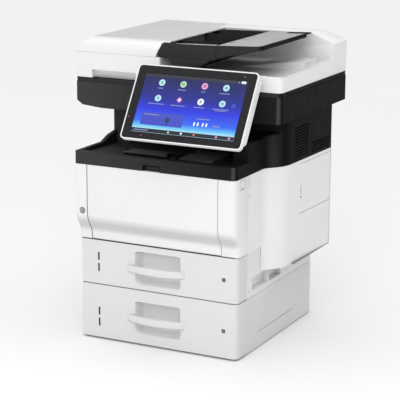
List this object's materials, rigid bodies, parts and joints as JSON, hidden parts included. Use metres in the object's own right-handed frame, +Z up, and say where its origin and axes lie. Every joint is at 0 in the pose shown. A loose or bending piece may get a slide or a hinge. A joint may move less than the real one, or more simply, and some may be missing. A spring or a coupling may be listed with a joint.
{
  "type": "photocopier",
  "caption": "Desk-side monochrome A4 copier on an added paper drawer: pull-out drawers, drop-down door, output bay, flatbed scanner, sheet-feeding lid and a tilting touch panel.",
  "frame": {"origin": "on the floor, under the middle of the machine's box", "axes": "+X to the user's right, +Y to the back, +Z up; the front faces -Y"},
  "size_m": [0.474, 0.4754, 0.6406],
  "materials": {
    "shell_white": "fine moulded texture, satin",
    "lid_white": "fine moulded texture, satin",
    "body_black": "fine moulded texture, low sheen",
    "trim_charcoal": "fine moulded texture, low sheen",
    "tray_grey": "plain moulded plastic",
    "pad_white": "smooth film over foam",
    "roller_rubber": "matt, fine grooves",
    "foot_rubber": "matt",
    "fuser_sleeve": "smooth satin silicone",
    "plated_steel": "zinc-plated sheet, light grain",
    "polished_steel": "ground rod",
    "platen_glass": "clear, polished",
    "panel_black": "black cover glass, polished",
    "display": "lit blue display behind cover glass",
    "button_grey": "satin",
    "cartridge_black": "plain moulded plastic",
    "board_green": "solder mask, satin"
  },
  "bodies": {
    "machine": {"foot_front_left": "foot_rubber", "foot_front_right": "foot_rubber", "foot_rear_left": "foot_rubber", "foot_rear_right": "foot_rubber", "feed_unit_case": "shell_white", "engine_base": "shell_white", "front_strip_left": "shell_white", "front_strip_right": "shell_white", "right_cover": "shell_white", "left_cover": "shell_white", "rear_cover": "shell_white", "output_tray": "body_black", "bay_cover": "body_black", "right_column": "body_black", "scanner_tub": "body_black", "scanner_bezel": "trim_charcoal", "platen_glass": "platen_glass", "carriage_rail": "polished_steel", "lid_hinge": "polished_steel", "panel_arm": "body_black", "chassis": "plated_steel", "laser_unit": "trim_charcoal", "print_cartridge": "cartridge_black", "fuser_frame": "body_black", "main_board": "board_green", "power_inlet": "body_black"},
    "lower_drawer": {"lower_drawer_front": "shell_white", "lower_drawer_handle": "shell_white", "lower_drawer_tray": "tray_grey"},
    "lower_lift_plate": {"lower_lift_plate": "plated_steel"},
    "lower_fence_left": {"lower_fence_left": "trim_charcoal"},
    "lower_fence_right": {"lower_fence_right": "trim_charcoal"},
    "lower_pickup_roller": {"lower_pickup_roller": "roller_rubber"},
    "upper_drawer": {"upper_drawer_front": "shell_white", "upper_drawer_handle": "shell_white", "upper_drawer_tray": "tray_grey"},
    "upper_lift_plate": {"upper_lift_plate": "plated_steel"},
    "upper_fence_left": {"upper_fence_left": "trim_charcoal"},
    "upper_fence_right": {"upper_fence_right": "trim_charcoal"},
    "upper_pickup_roller": {"upper_pickup_roller": "roller_rubber"},
    "front_door": {"front_door": "shell_white"},
    "power_button": {"power_button": "button_grey"},
    "output_stop": {"output_stop": "trim_charcoal"},
    "exit_roller": {"exit_roller": "roller_rubber"},
    "scan_carriage": {"scan_carriage": "trim_charcoal"},
    "lid": {"lid_base": "lid_white", "platen_pad": "pad_white", "feeder_throat": "trim_charcoal"},
    "lid_end_stop": {"lid_end_stop": "lid_white"},
    "feeder_cover": {"feeder_cover": "lid_white"},
    "feed_roller": {"feed_roller": "roller_rubber"},
    "document_tray": {"document_tray": "trim_charcoal"},
    "side_guide_front": {"side_guide_front": "trim_charcoal"},
    "side_guide_rear": {"side_guide_rear": "trim_charcoal"},
    "panel": {"panel_housing": "lid_white", "panel_bezel": "panel_black", "panel_screen": "display"},
    "transfer_roller": {"transfer_roller": "roller_rubber"},
    "fuser_roller": {"fuser_roller": "fuser_sleeve"},
    "pressure_roller": {"pressure_roller": "fuser_sleeve"}
  },
  "joints": [
    {"name": "lower_drawer_slide", "type": "slide", "parent": "machine", "child": "lower_drawer", "axis": [0, 1, 0], "range_m": [-0.3, 0]},
    {"name": "lower_lift_plate_hinge", "type": "hinge", "parent": "lower_drawer", "child": "lower_lift_plate", "pos_m": [-0.006, 0.08766, 0.0137], "axis": [-1, 0, 0], "range_deg": [0, 16]},
    {"name": "lower_fence_left_slide", "type": "slide", "parent": "lower_drawer", "child": "lower_fence_left", "axis": [1, 0, 0], "range_m": [-0.003, 0.03]},
    {"name": "lower_fence_right_slide", "type": "slide", "parent": "lower_drawer", "child": "lower_fence_right", "axis": [1, 0, 0], "range_m": [-0.03, 0.003]},
    {"name": "lower_pickup_roller_spin", "type": "hinge", "parent": "machine", "child": "lower_pickup_roller", "pos_m": [-0.006, -0.10834, 0.11], "axis": [1, 0, 0], "continuous": true},
    {"name": "upper_drawer_slide", "type": "slide", "parent": "machine", "child": "upper_drawer", "axis": [0, 1, 0], "range_m": [-0.3, 0]},
    {"name": "upper_lift_plate_hinge", "type": "hinge", "parent": "upper_drawer", "child": "upper_lift_plate", "pos_m": [-0.006, 0.08766, 0.1322], "axis": [-1, 0, 0], "range_deg": [0, 16]},
    {"name": "upper_fence_left_slide", "type": "slide", "parent": "upper_drawer", "child": "upper_fence_left", "axis": [1, 0, 0], "range_m": [-0.003, 0.03]},
    {"name": "upper_fence_right_slide", "type": "slide", "parent": "upper_drawer", "child": "upper_fence_right", "axis": [1, 0, 0], "range_m": [-0.03, 0.003]},
    {"name": "upper_pickup_roller_spin", "type": "hinge", "parent": "machine", "child": "upper_pickup_roller", "pos_m": [-0.006, -0.10834, 0.208], "axis": [1, 0, 0], "continuous": true},
    {"name": "front_door_hinge", "type": "hinge", "parent": "machine", "child": "front_door", "pos_m": [-0.006, -0.17334, 0.2235], "axis": [1, 0, 0], "range_deg": [0, 88]},
    {"name": "power_button_press", "type": "slide", "parent": "machine", "child": "power_button", "axis": [0, 1, 0], "range_m": [0, 0.0015], "stiffness_N_per_m": 200},
    {"name": "output_stop_hinge", "type": "hinge", "parent": "machine", "child": "output_stop", "pos_m": [-0.006, -0.14454, 0.4062], "axis": [1, 0, 0], "range_deg": [0, 70]},
    {"name": "exit_roller_spin", "type": "hinge", "parent": "machine", "child": "exit_roller", "pos_m": [-0.006, 0.11566, 0.44], "axis": [1, 0, 0], "continuous": true},
    {"name": "transfer_roller_spin", "type": "hinge", "parent": "machine", "child": "transfer_roller", "pos_m": [-0.006, -0.05634, 0.246], "axis": [1, 0, 0], "continuous": true},
    {"name": "fuser_roller_spin", "type": "hinge", "parent": "machine", "child": "fuser_roller", "pos_m": [-0.006, 0.12846, 0.282], "axis": [1, 0, 0], "continuous": true},
    {"name": "pressure_roller_spin", "type": "hinge", "parent": "machine", "child": "pressure_roller", "pos_m": [-0.006, 0.15486, 0.282], "axis": [1, 0, 0], "continuous": true},
    {"name": "scan_carriage_slide", "type": "slide", "parent": "machine", "child": "scan_carriage", "axis": [1, 0, 0], "range_m": [0, 0.34]},
    {"name": "lid_hinge_turn", "type": "hinge", "parent": "machine", "child": "lid", "pos_m": [-0.006, 0.23066, 0.55], "axis": [-1, 0, 0], "range_deg": [0, 62]},
    {"name": "lid_end_stop_hinge", "type": "hinge", "parent": "lid", "child": "lid_end_stop", "pos_m": [0.21, 0.00366, 0.5846], "axis": [0, 1, 0], "range_deg": [0, 80]},
    {"name": "feeder_cover_hinge", "type": "hinge", "parent": "lid", "child": "feeder_cover", "pos_m": [-0.237, 0.00366, 0.604], "axis": [0, -1, 0], "range_deg": [0, 70]},
    {"name": "feed_roller_spin", "type": "hinge", "parent": "lid", "child": "feed_roller", "pos_m": [-0.082, 0.00366, 0.594], "axis": [0, 1, 0], "continuous": true},
    {"name": "document_tray_hinge", "type": "hinge", "parent": "lid", "child": "document_tray", "pos_m": [0.091, 0.00366, 0.6363], "axis": [0, -1, 0], "range_deg": [0, 65]},
    {"name": "side_guide_front_slide", "type": "slide", "parent": "lid", "child": "side_guide_front", "axis": [0, -1, 0], "range_m": [0, 0.045]},
    {"name": "side_guide_rear_slide", "type": "slide", "parent": "lid", "child": "side_guide_rear", "axis": [0, -1, 0], "range_m": [-0.045, 0]},
    {"name": "panel_tilt", "type": "hinge", "parent": "machine", "child": "panel", "pos_m": [-0.006, -0.13334, 0.545], "axis": [1, 0, 0], "range_deg": [-22, 15]}
  ],
  "couplings": [
    {"joint": "lower_fence_right_slide", "follows": "lower_fence_left_slide", "ratio": -1},
    {"joint": "upper_fence_right_slide", "follows": "upper_fence_left_slide", "ratio": -1},
    {"joint": "pressure_roller_spin", "follows": "fuser_roller_spin", "ratio": -1},
    {"joint": "side_guide_rear_slide", "follows": "side_guide_front_slide", "ratio": -1}
  ]
}
